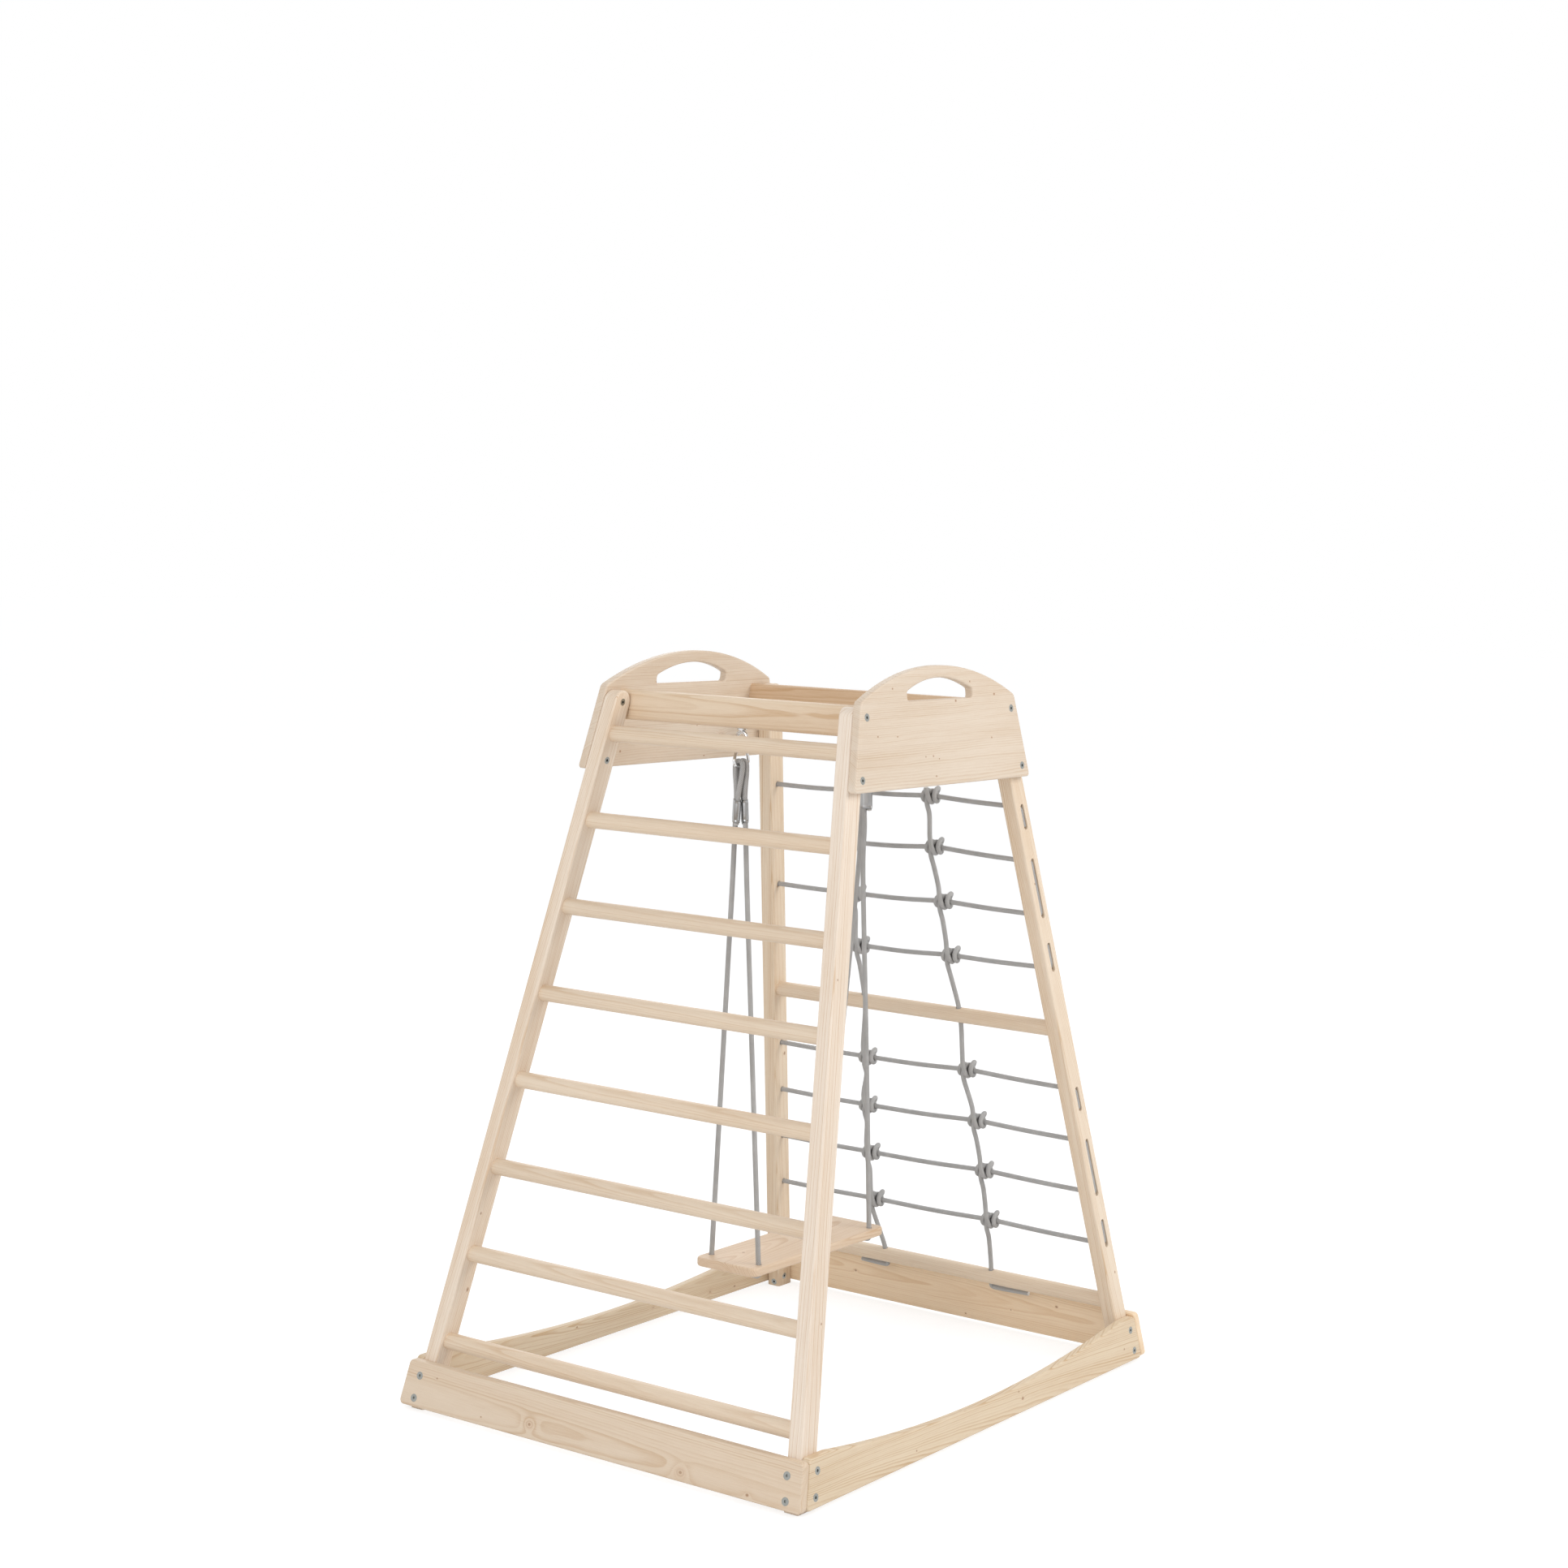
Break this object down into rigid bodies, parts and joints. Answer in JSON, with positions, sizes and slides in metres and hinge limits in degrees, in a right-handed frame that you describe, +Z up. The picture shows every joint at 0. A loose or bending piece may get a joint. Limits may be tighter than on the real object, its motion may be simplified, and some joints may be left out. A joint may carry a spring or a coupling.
{
  "type": "indoor climbing tower",
  "caption": "Free-standing leaning pine climbing frame: ladder of round rungs on one side, knotted rope net on the other, swing between, arched head boards with hand holes.",
  "frame": {"origin": "on the floor, under the middle of the tower", "axes": "+Z up; -X towards the ladder side, +X towards the net side; -Y towards the end where both net lacings start"},
  "size_m": [1.2432, 0.9454, 1.45],
  "materials": {
    "pine_post": "planed, clear satin lacquer",
    "pine_board": "planed, clear satin lacquer",
    "pine_rung": "turned, clear satin lacquer",
    "rope": "grey braided cord, matt",
    "zinc_steel": "zinc plated",
    "bright_steel": "polished",
    "sleeve_aluminium": "pressed, satin"
  },
  "bodies": {
    "frame": {"base_board_ladder": "pine_board", "base_board_net": "pine_board", "bolts": "zinc_steel", "curved_board_front": "pine_board", "curved_board_rear": "pine_board", "eye_hook_ladder": "zinc_steel", "eye_hook_net": "zinc_steel", "head_board_front": "pine_board", "head_board_rear": "pine_board", "ladder_rung_1": "pine_rung", "ladder_rung_2": "pine_rung", "ladder_rung_3": "pine_rung", "ladder_rung_4": "pine_rung", "ladder_rung_5": "pine_rung", "ladder_rung_6": "pine_rung", "ladder_rung_7": "pine_rung", "ladder_rung_8": "pine_rung", "net_lacing_lower": "rope", "net_lacing_upper": "rope", "net_rope_front": "rope", "net_rope_rear": "rope", "net_rung_bottom": "pine_rung", "net_rung_middle": "pine_rung", "post_ladder_front": "pine_post", "post_ladder_rear": "pine_post", "post_net_front": "pine_post", "post_net_rear": "pine_post", "sleeve_nuts": "zinc_steel", "top_rail_ladder": "pine_board", "top_rail_net": "pine_board"},
    "swing": {"swing_link_ladder": "bright_steel", "swing_link_net": "bright_steel", "swing_rope_ladder": "rope", "swing_rope_net": "rope", "swing_seat": "pine_board", "swing_sleeves": "sleeve_aluminium"}
  },
  "joints": [
    {"name": "swing_hinge", "type": "hinge", "parent": "frame", "child": "swing", "pos_m": [0, 0, 1.2983], "axis": [1, 0, 0], "range_deg": [-60, 60]}
  ]
}
